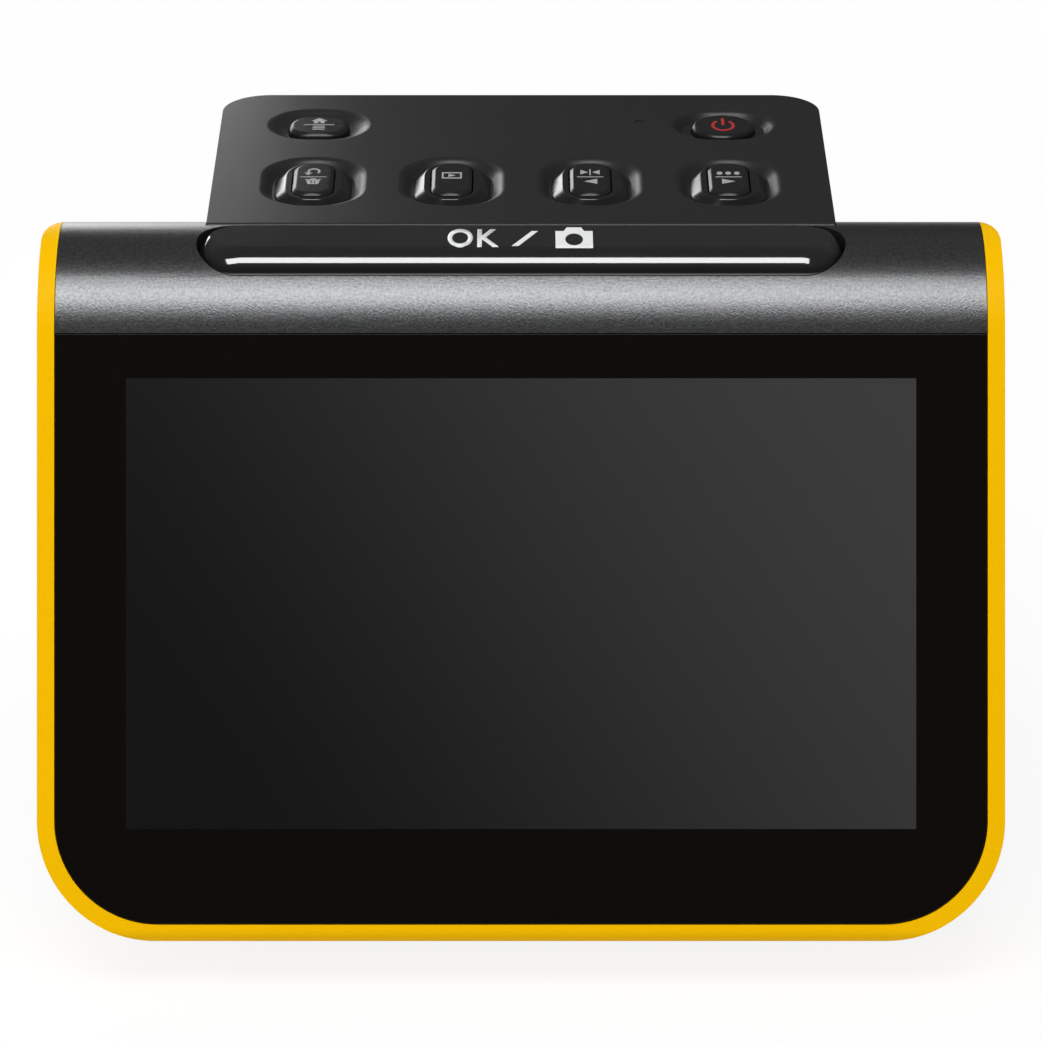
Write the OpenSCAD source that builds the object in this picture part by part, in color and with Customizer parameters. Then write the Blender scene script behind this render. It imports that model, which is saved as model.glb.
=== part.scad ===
// Film negative scanner with a tilted display, a rolled top and a tower that takes a sliding film holder.
// X points right, Y points back and Z points up, in millimetres. The origin is under the middle of the part.

/* [Slab] */
// Angle that the display leans back
tilt = 24.5; // [20:0.5:28]
// Height of the front lip above the surface that the scanner stands on
lip_h = 8; // [7:0.5:12]
// Wall of the side frame
frame_wall = 2.4; // [1.8:0.1:3]
// Radius of the side frame's bottom corners
corner_r = 16.9; // [10:0.5:20]
// Radius of the side frame's top corners
top_corner_r = 3; // [1:0.5:5]
// Radius of the rolled top
roll_r = 16.4; // [15:0.2:18]
// Radius of the rounding under the lip
lip_r = 1.8; // [1:0.1:2.2]
// Radius of the rounded heel
heel_r = 5; // [4:0.5:7]
// Depth of the heel's centre behind the face
heel_d = 13; // [11:0.5:15]
// Wall of the rolled cover
roll_wall = 2; // [1.6:0.1:2.4]
// Wall of the back cover
back_wall = 2.2; // [1.6:0.1:2.6]
// Ledge that the glass rests on
ledge_w = 1.6; // [1.2:0.1:2.4]
// Thickness of that ledge
ledge_t = 1.5; // [1:0.1:2]

/* [Display] */
// Glass thickness
glass_t = 1.6; // [1:0.1:2]
// How far the glass sits below the frame's edge
glass_recess = 0.2; // [0.1:0.1:0.4]
// Display width
lcd_w = 118; // [114:1:130]
// Display height
lcd_h = 70; // [67:1:80]
// Display thickness
lcd_t = 3; // [2.4:0.1:3.4]
// Dark border of the display under the gasket, each side
gasket_w = 2.6; // [1.6:0.1:3.4]
// From the display's side to the outside of the side frame
border_side = 8.5; // [8:0.1:12]
// From the lip up to the display, along the face
border_low = 12.2; // [11:0.1:16]
// From the display up to the roll, along the face
border_high = 2.7; // [2.5:0.1:5]
// Foam gasket thickness
gasket_t = 0.8; // [0.5:0.1:1.2]
// Floor of the display carrier
carrier_t = 1.6; // [1.2:0.1:2.4]
// Window in the carrier for the ribbon, width
carrier_window_w = 70; // [60:1:80]
// Window in the carrier for the ribbon, height
carrier_window_h = 30; // [20:1:36]

/* [Tower] */
// Tower width
tower_w = 89.2; // [87:0.2:96]
// From the film channel to the tower's rear wall
rear_gap = 1.4; // [1.2:0.1:4]
// Radius of the tower's rear corners
tower_r = 7; // [6:0.5:11]
// Tower wall
tower_wall = 2.4; // [2:0.1:2.8]
// Button panel thickness
panel_t = 3.5; // [3:0.1:4]
// From the tower's side wall to the way into the slab
way_margin = 3.7; // [3.5:0.1:6]
// From the film channel up to that way
way_lift = 3.3; // [2:0.1:6]
// Base plate thickness
base_t = 2.5; // [2:0.1:3]
// Height of the rubber feet
foot_h = 1.5; // [1:0.1:2]
// Diameter of the rubber feet
foot_d = 9; // [7:0.5:10]

/* [Keys] */
// Travel of every key
key_travel = 0.6; // [0.3:0.1:0.7]
// Gap between a key and its hole, each side
key_gap = 0.15; // [0.1:0.05:0.25]
// Length of the long key
bar_l = 91; // [80:1:100]
// Width of the long key
bar_w = 11.4; // [9:0.2:12]
// How far the long key stands above the panel
bar_rise = 0.1; // [0:0.05:0.4]
// Rounding of the long key's front edge
bar_round = 4.2; // [3:0.1:5]
// Gap between the long key and the panel
bar_gap = 0.3; // [0.2:0.05:0.4]
// Rear edge of the long key behind the roll's middle
bar_rear = 1.9; // [1:0.1:2.4]
// Distance between keys in the front row
key_pitch = 20; // [18:0.5:21]
// Front row of keys behind the roll's middle
row_front = 19.25; // [18:0.25:21]
// Rear row of keys in front of the tower's rear edge
row_rear = 12.8; // [11.5:0.1:13.5]
// Dish round a front key, width and depth
dish = [14.5, 19.1]; // [12:0.1:20]
// Depth of the dishes below the panel
dish_deep = 1.2; // [1:0.1:2.2]
// Slope of the dish walls, measured flat
dish_slope = 1.3; // [0.5:0.1:1.5]
// Bezel foot, width and depth
bezel_foot = [11.2, 16]; // [9:0.1:18]
// Bezel top, width and depth
bezel_top = [8, 14.6]; // [7:0.1:16]
// Front key cap, width and depth
cap = [5.9, 12.3]; // [5:0.1:13]
// How far a key cap stands above the panel
cap_proud = 0.55; // [0.3:0.05:1]
// Dish round the home key, width and depth
home_dish = [14.6, 12.5]; // [12:0.1:16]
// Slope of the home dish, measured flat
home_slope = 2; // [0.5:0.1:2.2]
// Home key cap, width and depth
home_cap = [8.8, 7.7]; // [7:0.1:10]
// Power key diameter
power_d = 9.3; // [8:0.1:10]
// Dish round the power key, width and depth
power_dish = [14.9, 12.3]; // [12:0.1:16]
// Indicator light diameter
light_d = 1.3; // [1:0.1:2]

/* [Film] */
// Film holder length
holder_l = 128; // [122:1:140]
// Film holder width
holder_w = 52; // [50:0.5:60]
// Film holder thickness
holder_t = 8.1; // [7:0.1:9]
// Width of one picture on the film
frame_w = 36; // [34:0.5:36]
// Height of one picture on the film
frame_h = 24; // [22:0.5:24]
// Distance from one picture to the next
frame_pitch = 38; // [37.5:0.5:39]
// Film strip width
film_w = 35; // [34:0.5:36]
// Room between the slab's back and the film channel
channel_room = 1.52; // [0.9:0.02:5]
// Height of the channel's floor
channel_z = 27; // [26:0.5:28]
// Play above and below the holder, together
holder_play_z = 0.6; // [0.4:0.1:0.8]
// Play of the holder on each side
holder_play_y = 0.3; // [0.2:0.05:0.4]
// Side rail of the channel
rail_w = 3.2; // [2.6:0.1:3.2]
// Channel plate below the holder
channel_t = 3; // [2:0.1:3]
// Channel plate above the holder
cap_t = 2; // [1.6:0.1:2.4]
// Opening in the channel beyond the picture, each side
aperture_margin = 1; // [0.5:0.1:2]
// Diameter of the holder's hinge pin
pin_d = 1.6; // [1.2:0.1:2]

/* [Optics] */
// Lens barrel diameter
barrel_d = 12; // [10:0.5:13]
// Height of the lens barrel's lower end above the channel
barrel_lift = 12; // [10:0.5:14]
// Length of the lens barrel
barrel_l = 16; // [14:0.5:17]
// Height of the camera bracket's plate above the channel
bracket_lift = 26; // [24:0.5:27]
// Sensor board size
sensor_board_w = 24; // [22:0.5:26]
// Light box width
light_box_w = 54; // [50:1:56]
// Light box depth
light_box_d = 38; // [34:1:40]

/* [Boards] */
// Circuit board thickness
board_t = 1.6; // [1:0.1:1.6]
// From the film channel up to the main board
main_lift = 2.3; // [2:0.1:3]
// From the main board up to the key board
main_drop = 2.4; // [2:0.1:3]
// Gap between the main board and the rear wall
main_gap = 5.8; // [5.4:0.1:6]
// Main board socket length
socket_l = 7.5; // [7:0.1:8]

/* [Fits] */
// Gap between fixed covers
fit = 0.1; // [0.05:0.01:0.2]
// Gap round moving pins and screw shanks
pin_fit = 0.1; // [0.05:0.01:0.1]

/* [Hidden] */
$fn = 48;

black = "#15120f";
charcoal = "#3b3b3d";
gunmetal = "#6a6c6e";
yellow = "#ffc400";
board_green = "#1d5a3a";
steel = "#b8bcc0";

arc_steps = 24;
corner_steps = 8;
sharp = 0.01;
big = 200;
eps = 0.01;

// Places worked out from the driving sizes. Along the face, d runs into the slab and u runs up it.
body_w = lcd_w + 2 * border_side;
face_h = border_low + lcd_h + border_high;
lit_mid = border_low + lcd_h / 2;
channel_w = holder_w + 2 * holder_play_y + 2 * rail_w;
way_w = tower_w - 2 * (tower_wall + way_margin);
roll_c = [roll_r, face_h];
heel_c = [heel_d, heel_r];
heel_to_roll = roll_c - heel_c;
back_a = atan2(heel_to_roll.y, heel_to_roll.x) - acos((heel_r - roll_r) / norm(heel_to_roll));
roll_z = lip_h + face_h * cos(tilt) - roll_r * sin(tilt);
channel_top = channel_z + holder_t + holder_play_z;
cap_top = channel_top + cap_t;
back_lean = back_a - tilt;
film_back = (roll_r - sin(back_lean) * (cap_top - roll_z)) / cos(back_lean) + channel_room + channel_w / 2;
tower_depth = film_back + channel_w / 2 + rear_gap + tower_wall;
face_y = -(lip_r * (cos(tilt) + sin(tilt) - 1) + roll_r * cos(tilt) + face_h * sin(tilt) + tower_depth) / 2;
roll_y = face_y + roll_r * cos(tilt) + face_h * sin(tilt);
panel_z = roll_z + roll_r;
tower_y = roll_y + tower_depth;
heel_y = face_y + heel_d * cos(tilt) + heel_r * sin(tilt);
inner_w = body_w - 2 * frame_wall;

glass_back = glass_recess + glass_t;
ledge_back = glass_back + ledge_t;
lcd_front = glass_back + gasket_t;
lcd_back = lcd_front + lcd_t;
carrier_back = lcd_back + carrier_t;
glass_top = face_h - fit;
carrier_top = face_h - ledge_w - fit;

panel_under = panel_z - panel_t;
panel_front = roll_y + bar_rear + bar_gap;
shell_z = foot_h;
shell_top = panel_under;
base_top = foot_h + base_t;
film_y = roll_y + film_back;
front_row_y = roll_y + row_front;
rear_row_y = tower_y - row_rear;
rear_row_x = 1.5 * key_pitch;

// Key stack, from the panel down to the board
flange_gap = 0.05;
flange_t = 1.2;
flange_w = 1.2;
flange_z = panel_under - flange_gap - flange_t;
stem_z = flange_z - 1.1;
stem_d = 3;
plunger_d = 3;
press_room = key_travel + 0.9;
plunger_l = press_room + 0.6;
switch_w = 6;
switch_h = 3.5;
switch_floor = 0.6;
key_board_top = stem_z - press_room - switch_h;
key_board_z = key_board_top - board_t;
key_board_w = way_w - 1;
key_board_front = roll_y - 11;
key_board_rear = tower_y - tower_wall - 3;
bar_y = roll_y + bar_rear - bar_w / 2;
bar_lip = 0.3;
bar_switch_x = 16;
bar_pin_x = key_board_w / 2 - 5;
bar_pin_d = 2.4;
bar_head_d = 3.4;
bar_head_t = 1.3;
cap_r = 2.3;
home_r = 3;
cap_edge = 0.5;
dish_r = 7;
bezel_r = 5.2;
spigot_r = 2.4;
dish_over = 0.5;
spigot = bezel_top - [0.8, 0.8];
light_x = 17.6;
light_y = rear_row_y + 1.1;
boss_side = way_w / 2 - 3.5;
boss_mid = (front_row_y + rear_row_y) / 2;
boss_spots = [
    [-boss_side, roll_y + 6], [boss_side, roll_y + 6], [-key_pitch, boss_mid], [key_pitch, boss_mid],
    [0, rear_row_y + 4]
];
boss_d = 4.6;
screw_d = 1.8;
screw_head_d = 3.4;
screw_head_h = 1.1;
screw_l = 5;
screw_sink = 1.5;

// Film channel and holder
holder_z = channel_z + holder_play_z / 3;
channel_l = tower_w - 2 * tower_wall - 2 * fit;
lid_z = holder_z + holder_t / 2;
lid_gap = 0.05;
film_deep = 0.3;
hinge_y = film_y + holder_w / 2 - 2.4;
knuckle_r = 2;
knuckle_l = 9;
knuckle_gap = 0.15;
knuckle_n = 3;
spring_x = frame_w / 2 + 12;
spring_l = 22;
spring_w = 6;
spring_t = 0.4;
spring_window = 4;
bump_d = 3;

// Optics
way_z = cap_top + way_lift;
bracket_z = cap_top + bracket_lift;
bracket_t = 2;
bracket_post = [frame_w / 2 + aperture_margin + 3.5, frame_h / 2 + aperture_margin + 1.5];
bracket_w = 2 * bracket_post.x + 7;
bracket_d = 2 * bracket_post.y + 7;
post_d = 5;
barrel_z = cap_top + barrel_lift;
holder_tube_d = barrel_d + 4;
barrel_bare = 3;
barrel_wall = 2;
element_t = 1.6;
lens_flange_d = 20;
lens_flange_h = 4;
sensor_z = bracket_z + bracket_t + lens_flange_h;
box_wall = 1.6;
box_z = base_top;
box_top = channel_z - channel_t;
diffuser_t = 1.6;
emitter = [2.8, 3.5, 0.8];
emitter_pitch = [light_box_w / 4 - emitter.x + 0.3, light_box_d / 4 - 0.5];

// Main board
main_back = tower_y - tower_wall - main_gap;
main_front = main_back - board_t;
main_w = way_w - 1;
main_z0 = cap_top + main_lift;
main_z1 = key_board_z - main_drop;
main_screw_x = main_w / 2 - 4;
main_screw_inset = 3;
main_mid = (main_z0 + main_z1) / 2;
card = [30, 3.2, 26];
card_y = main_front - card.y;
strip_socket = [16, 2, 3];
strip_drop = 4;
strip_step = 5;
strip_low_z = main_z0 + strip_socket.z;
strip_high_z = main_z1 - strip_drop;
strip_mid_z = strip_high_z - strip_step;
card_z = strip_high_z - strip_socket.z - card.z;
socket_wall = 0.4;
usb = [9, 3.4];
usb_at = [24, main_z0 + 12];
video = [11.2, 3.6];
video_at = [6, main_z0 + 12];
ribbon_t = 0.3;
ribbon_w = 14;
light_ribbon_w = 10;
ribbon_tail = 3;
ribbon_bend = 2;

// Base
foot_front = heel_y + heel_r + foot_d / 2 + 1.6;
base_screw_x = tower_w / 2 - 6.2;
screw_step = 12.9;
base_screw_front = foot_front + screw_step;
base_screw_rear = tower_y - 8.8;
base_boss_d = 8;
base_boss_h = 10;
foot_rear = tower_y - tower_wall - foot_d / 2 - 1;
front_foot_x = tower_w / 2 - 11.6;
rear_foot_x = front_foot_x - 7;
leg_x = light_box_w / 2 + 3;
leg_d = 5;

function ray(r, a) = r * [cos(a), sin(a)];
function arc(c, r, a0, a1, n = arc_steps) = [for (i = [0 : n]) c + ray(r, a0 + (a1 - a0) * i / n)];
function rounded_points(size, r) = let (
    w = size.x / 2 - r,
    h = size.y / 2 - r
) concat(
    arc([w, h], r, 0, 90, corner_steps),
    arc([-w, h], r, 90, 180, corner_steps),
    arc([-w, -h], r, 180, 270, corner_steps),
    arc([w, -h], r, 270, 360, corner_steps)
);
function lip_at(o) = max(lip_r - o, sharp);
function slab_points(o) = concat(
    arc([o + lip_at(o), o + lip_at(o)], lip_at(o), 180, 270),
    arc(heel_c, heel_r - o, -90, back_a),
    arc(roll_c, roll_r - o, back_a, 180)
);
function face_points(o, top, top_r) = let (
    w = body_w / 2 - o,
    r = corner_r - o
) concat(
    arc([-w + r, o + r], r, 180, 270),
    arc([w - r, o + r], r, 270, 360),
    arc([w - top_r, top - top_r], top_r, 0, 90),
    arc([-w + top_r, top - top_r], top_r, 90, 180)
);
function tower_points(o, front) = let (
    w = tower_w / 2 - o,
    r = tower_r - o,
    rear = tower_y - o
) concat(
    [[-w, front], [w, front]],
    arc([w - r, rear - r], r, 0, 90),
    arc([-w + r, rear - r], r, 90, 180)
);

// Placing and extruding helpers
module in_slab() {
    translate([0, face_y, lip_h])
        rotate([-tilt, 0, 0])
            children();
}
module along_x(w) {
    translate([-w / 2, 0, 0])
        rotate([90, 0, 90])
            linear_extrude(w)
                children();
}
module along_d(d0, d1) {
    translate([0, d1, 0])
        rotate([90, 0, 0])
            linear_extrude(d1 - d0)
                children();
}
// The slab with a fit round it, and all the space in front of it
module slab_clearance() {
    in_slab()
        along_x(body_w) {
            polygon(slab_points(-fit));
            polygon([[-big, heel_r], heel_c, roll_c, roll_c + [0, big], [-big, big]]);
        }
}
module face_shape(o) {
    polygon(face_points(o, face_h + big, sharp));
}
module mid_box(size) {
    translate([-size.x / 2, -size.y / 2, 0])
        cube(size);
}
module rounded_block(size, r, h) {
    linear_extrude(h)
        polygon(rounded_points(size, r));
}
// The radius that fits the corners of an outline
function ring_r(size, r) = min(r, min(size.x, size.y) / 2 - eps);
// A block whose four walls slope, with rounded corners at the bottom and the top
module taper(low, high, r, h) {
    n = 4 * (corner_steps + 1);
    points = concat(
        [for (p = rounded_points(low, ring_r(low, r))) [p.x, p.y, 0]],
        [for (p = rounded_points(high, ring_r(high, r))) [p.x, p.y, h]]
    );
    bottom = [for (i = [0 : n - 1]) i];
    top = [for (i = [n - 1 : -1 : 0]) n + i];
    walls = [for (i = [0 : n - 1]) [i, n + i, n + (i + 1) % n, (i + 1) % n]];
    polyhedron(points, concat([bottom, top], walls));
}
// A dish with sloping walls, cut from the panel's top
module dish_cut(size, slope = dish_slope) {
    low = size - 2 * [slope, slope];
    rise = 1 + dish_over / dish_deep;
    translate([0, 0, panel_z - dish_deep])
        taper(low, low + (size - low) * rise, dish_r, dish_deep + dish_over);
}
module stadium(l, w, h) {
    for (x = [-1, 1])
        translate([x * (l - w) / 2, 0, 0])
            cylinder(d = w, h = h);
    translate([-(l - w) / 2, -w / 2, 0])
        cube([l - w, w, h]);
}
module small_screw(l) {
    cylinder(d = screw_head_d, h = screw_head_h);
    translate([0, 0, screw_head_h - eps])
        cylinder(d = screw_d - 2 * pin_fit, h = l + eps);
}
// A flat cable that follows a path in the YZ plane
module ribbon(path, x, w) {
    n = len(path);
    turn = [for (i = [0 : n - 2]) (path[i + 1] - path[i]) / norm(path[i + 1] - path[i])];
    side = [for (i = [0 : n - 1]) let (
        a = turn[max(i - 1, 0)],
        b = turn[min(i, n - 2)],
        m = (a + b) / norm(a + b)
    ) [-m.y, m.x] / (m * a) * ribbon_t];
    translate([x, 0, 0])
        along_x(w)
            polygon(concat(path, [for (i = [n - 1 : -1 : 0]) path[i] + side[i]]));
}

// Yellow moulding: a U round the face, with the two ends of the roll
module side_frame() color(yellow) {
    in_slab() {
        intersection() {
            along_d(-1, big)
                difference() {
                    polygon(face_points(0, face_h + roll_r, top_corner_r));
                    face_shape(frame_wall);
                }
            along_x(body_w)
                polygon(slab_points(0));
        }
        along_d(glass_back, ledge_back)
            intersection() {
                difference() {
                    face_shape(frame_wall - eps);
                    face_shape(frame_wall + ledge_w);
                }
                translate([-body_w / 2, 0])
                    square([body_w, carrier_top]);
            }
    }
}

// Rolled metal-look cover, open at the back where the tower joins
module roll_cover() color(gunmetal) {
    w = inner_w - 2 * fit;
    difference() {
        in_slab() {
            intersection() {
                difference() {
                    translate([-w / 2, roll_c.x, roll_c.y])
                        rotate([0, 90, 0])
                            cylinder(r = roll_r, h = w, $fn = 96);
                    translate([-w / 2 - 1, roll_c.x, roll_c.y])
                        rotate([0, 90, 0])
                            cylinder(r = roll_r - roll_wall, h = w + 2, $fn = 96);
                }
                along_x(w)
                    polygon([
                        roll_c, roll_c + ray(big, back_a), roll_c + [big, big], roll_c + [-big, big],
                        roll_c + [-big, 0]
                    ]);
            }
            // Tongue behind the glass's top edge
            translate([-w / 2, glass_back, carrier_top + fit])
                cube([w, ledge_t, 2 * ledge_w + fit]);
        }
        translate([0, bar_y, roll_z])
            stadium(bar_l + 2 * key_gap, bar_w + 2 * key_gap, roll_r + 1);
        translate([-tower_w / 2 - fit, panel_front - bar_gap + key_gap, panel_under - fit])
            cube([tower_w + 2 * fit, big, big]);
        translate([-way_w / 2, panel_front - bar_gap + key_gap, way_z])
            cube([way_w, big, big]);
    }
}

module screen_glass() color(black) {
    in_slab()
        along_d(glass_recess, glass_back)
            intersection() {
                face_shape(frame_wall + fit);
                translate([-body_w / 2, 0])
                    square([body_w, glass_top]);
            }
}

module on_lcd() {
    translate([0, lit_mid])
        children();
}

module screen_gasket() color(black) {
    in_slab()
        along_d(glass_back, lcd_front)
            on_lcd()
                difference() {
                    square([lcd_w, lcd_h], center = true);
                    square([lcd_w - 2 * gasket_w, lcd_h - 2 * gasket_w], center = true);
                }
}

module lcd_panel() color("#2a2a2a") {
    in_slab()
        along_d(lcd_front, lcd_back)
            on_lcd()
                square([lcd_w, lcd_h], center = true);
}

back_screw_spots = [[-1, 18], [1, 18], [-1, 66], [1, 66]];
back_screw_x = body_w / 2 - 12.5;
module at_back_screws() {
    for (s = back_screw_spots)
        translate([s.x * back_screw_x, 0, s.y])
            rotate([-90, 0, 0])
                children();
}

// Plate that holds the display against the glass and takes the back cover's screws
module display_carrier() color(charcoal) {
    in_slab() {
        difference() {
            along_d(ledge_back, carrier_back)
                intersection() {
                    face_shape(frame_wall + 3 * fit);
                    translate([-body_w / 2, 0])
                        square([body_w, carrier_top]);
                }
            along_d(ledge_back - 1, lcd_back)
                on_lcd()
                    square([lcd_w + 2 * fit, lcd_h + 2 * fit], center = true);
            along_d(ledge_back, carrier_back + 1)
                on_lcd()
                    square([carrier_window_w, carrier_window_h], center = true);
            at_back_screws()
                translate([0, 0, carrier_back - 1])
                    cylinder(d = screw_d, h = big);
        }
        difference() {
            intersection() {
                at_back_screws()
                    translate([0, 0, carrier_back - eps])
                        cylinder(d = 6, h = big);
                along_x(body_w)
                    polygon(slab_points(back_wall + fit));
            }
            at_back_screws()
                translate([0, 0, carrier_back - 1])
                    cylinder(d = screw_d, h = big);
        }
    }
}

// Depth of a back screw's seat at a height up the face
function back_d(u) = roll_c.x + roll_r / cos(back_a) + (u - face_h) * -tan(back_a);
function screw_seat(u) = back_d(u) - screw_sink;

module back_cover() color(charcoal) {
    difference() {
        in_slab()
            intersection() {
                along_x(body_w)
                    difference() {
                        polygon(slab_points(0));
                        polygon(slab_points(back_wall));
                    }
                along_d(carrier_back + 1, big)
                    face_shape(frame_wall + fit);
                along_x(body_w)
                    polygon([[0, 0], [big, 0], roll_c + ray(big, back_a), roll_c, [0, face_h]]);
            }
        translate([-way_w / 2, -big, way_z])
            cube([way_w, 2 * big, big]);
        in_slab()
            for (s = back_screw_spots)
                translate([s.x * back_screw_x, 0, s.y])
                    rotate([-90, 0, 0]) {
                        cylinder(d = screw_d + 2 * pin_fit, h = big);
                        translate([0, 0, screw_seat(s.y)])
                            cylinder(d = screw_head_d + 2 * pin_fit, h = big);
                    }
    }
}

// Screws that hold the back cover and the base plate
module case_screws() color(steel) {
    in_slab()
        for (s = back_screw_spots)
            translate([s.x * back_screw_x, screw_seat(s.y) + screw_head_h, s.y])
                rotate([90, 0, 0])
                    small_screw(screw_l);
    translate([0, 0, foot_h + fit])
        at_base_screws()
            small_screw(screw_l);
}

module at_base_screws() {
    for (x = [-1, 1], y = [base_screw_front, base_screw_rear])
        translate([x * base_screw_x, y, 0])
            children();
}

module at_main_screws() {
    for (x = [-1, 1], z = [main_z0 + main_screw_inset, main_z1 - main_screw_inset])
        translate([x * main_screw_x, 0, z])
            rotate([90, 0, 0])
                children();
}

// Walls of the tower, cut to the slab's back, with the holder's slot through both sides
module tower_shell() color(charcoal) {
    wall_in = tower_y - tower_wall;
    difference() {
        translate([0, 0, shell_z])
            linear_extrude(shell_top - shell_z)
                difference() {
                    polygon(tower_points(0, heel_y + heel_r));
                    polygon(tower_points(tower_wall, -big));
                }
        slab_clearance();
        translate([-big, film_y - holder_w / 2 - holder_play_y, channel_z])
            cube([2 * big, holder_w + 2 * holder_play_y, channel_top - channel_z]);
        translate([-tower_w, card_y - fit, card_z - fit])
            cube([tower_w, card.y + 2 * fit, card.z + 2 * fit]);
        translate([usb_at.x, tower_y + 1, usb_at.y])
            rotate([90, 0, 0])
                rounded_block([usb.x + 1, usb.y + 1], usb.y / 2, tower_wall + 2);
        translate([video_at.x, tower_y + 1, video_at.y])
            rotate([90, 0, 0])
                rounded_block([video.x + 1, video.y + 1], 1, tower_wall + 2);
    }
    // Bosses for the main board
    difference() {
        at_main_screws()
            translate([0, 0, -wall_in - 1])
                cylinder(d = boss_d, h = main_gap + 1);
        at_main_screws()
            translate([0, 0, -wall_in])
                cylinder(d = screw_d, h = main_gap + 1);
    }
    // Bosses for the base plate
    translate([0, 0, base_top])
        difference() {
            at_base_screws()
                cylinder(d = base_boss_d, h = base_boss_h);
            translate([0, 0, -1])
                at_base_screws()
                    cylinder(d = screw_d, h = base_boss_h);
        }
}

module at_front_keys() {
    for (i = [-1.5 : 1 : 1.5])
        translate([i * key_pitch, front_row_y, 0])
            children();
}

// Top panel with a dish round each key and bosses for the key board
module button_panel() color(charcoal) {
    difference() {
        union() {
            translate([0, 0, panel_under])
                linear_extrude(panel_t)
                    polygon(tower_points(0, panel_front));
            for (b = boss_spots)
                translate([b.x, b.y, key_board_top])
                    cylinder(d = boss_d, h = panel_under - key_board_top + 1);
        }
        at_front_keys() {
            dish_cut(dish);
            translate([0, 0, panel_under - 1])
                rounded_block(spigot + 2 * [fit, fit], spigot_r + fit, panel_t);
        }
        translate([-rear_row_x, rear_row_y, 0]) {
            dish_cut(home_dish, home_slope);
            translate([0, 0, panel_under - 1])
                rounded_block(home_cap + 2 * [key_gap, key_gap], home_r + key_gap, panel_t);
        }
        translate([rear_row_x, rear_row_y, 0]) {
            dish_cut(power_dish);
            translate([0, 0, panel_under - 1])
                cylinder(d = power_d + 2 * key_gap, h = panel_t);
        }
        translate([light_x, light_y, panel_under - 1])
            cylinder(d = light_d + 2 * pin_fit, h = panel_t + 2, $fn = 24);
        for (b = boss_spots)
            translate([b.x, b.y, key_board_top - 1])
                cylinder(d = screw_d, h = screw_l + 1);
    }
}

// Glossy raised surrounds of the front keys, clipped into the panel
module key_bezels() color(black) {
    floor_z = panel_z - dish_deep;
    at_front_keys()
        difference() {
            union() {
                translate([0, 0, floor_z])
                    taper(bezel_foot, bezel_top, bezel_r, dish_deep);
                translate([0, 0, panel_under])
                    rounded_block(spigot, spigot_r, floor_z - panel_under + eps);
            }
            translate([0, 0, panel_under - 1])
                rounded_block(cap + 2 * [key_gap, key_gap], cap_r + key_gap, big);
        }
}

// A key cap with the flange that keeps it in, and the stem that meets its switch
module key(size, r, top) {
    translate([0, 0, flange_z])
        rounded_block(size, r, top - flange_z - cap_edge);
    translate([0, 0, top - cap_edge])
        taper(size, size - 2 * [cap_edge, cap_edge], r, cap_edge);
    translate([0, 0, flange_z])
        rounded_block(size + 2 * [flange_w, flange_w], r + 1, flange_t);
    translate([0, 0, stem_z])
        cylinder(d = stem_d, h = flange_z - stem_z);
}
module front_key(i) color(black) {
    translate([(i - 1.5) * key_pitch, front_row_y, 0])
        key(cap, cap_r, panel_z + cap_proud);
}
module rotate_key() front_key(0);
module gallery_key() front_key(1);
module flip_key() front_key(2);
module colour_key() front_key(3);
module home_key() color(black) {
    translate([-rear_row_x, rear_row_y, 0])
        key(home_cap, home_r, panel_z);
}
module power_key() color(black) {
    translate([rear_row_x, rear_row_y, 0]) {
        translate([0, 0, flange_z])
            cylinder(d = power_d, h = panel_z - flange_z - cap_edge);
        translate([0, 0, panel_z - cap_edge])
            cylinder(d1 = power_d, d2 = power_d - 2 * cap_edge, h = cap_edge);
        translate([0, 0, flange_z])
            cylinder(d = power_d + 2 * flange_w, h = flange_t);
        translate([0, 0, stem_z])
            cylinder(d = stem_d, h = flange_z - stem_z);
    }
}

// Long key: flat on top, rounded down to the roll in front, with two headed pins that guide it
module ok_bar() color(black) {
    front = bar_y - bar_w / 2 - bar_lip;
    rear = bar_y + bar_w / 2 + bar_lip;
    top = panel_z + bar_rise;
    intersection() {
        translate([0, bar_y, stem_z])
            stadium(bar_l, bar_w, roll_r);
        along_x(bar_l + 1)
            polygon(concat(
                [[front, stem_z - 1], [rear, stem_z - 1], [rear, top]],
                arc([front + bar_round, top - bar_round], bar_round, 90, 180)
            ));
    }
    for (x = [-1, 1])
        translate([x * bar_pin_x, bar_y, key_board_z - flange_gap - bar_head_t]) {
            cylinder(d = bar_head_d, h = bar_head_t);
            cylinder(d = bar_pin_d, h = stem_z - key_board_z + flange_gap + bar_head_t + eps);
        }
}

module plunger() color(charcoal) {
    translate([0, 0, stem_z - plunger_l])
        cylinder(d = plunger_d, h = plunger_l);
}
module front_plunger(i) {
    translate([(i - 1.5) * key_pitch, front_row_y, 0])
        plunger();
}
module rotate_plunger() front_plunger(0);
module gallery_plunger() front_plunger(1);
module flip_plunger() front_plunger(2);
module colour_plunger() front_plunger(3);
module home_plunger() {
    translate([-rear_row_x, rear_row_y, 0])
        plunger();
}
module power_plunger() {
    translate([rear_row_x, rear_row_y, 0])
        plunger();
}
module ok_plungers() {
    for (x = [-1, 1])
        translate([x * bar_switch_x, bar_y, 0])
            plunger();
}

switch_spots = concat(
    [for (i = [-1.5 : 1 : 1.5]) [i * key_pitch, front_row_y]],
    [[-rear_row_x, rear_row_y], [rear_row_x, rear_row_y], [-bar_switch_x, bar_y], [bar_switch_x, bar_y]]
);
module switch_bodies() color(steel) {
    for (s = switch_spots)
        translate([s.x, s.y, key_board_top])
            difference() {
                mid_box([switch_w, switch_w, switch_h]);
                translate([0, 0, switch_floor])
                    cylinder(d = plunger_d + 2 * pin_fit, h = switch_h);
            }
}

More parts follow.
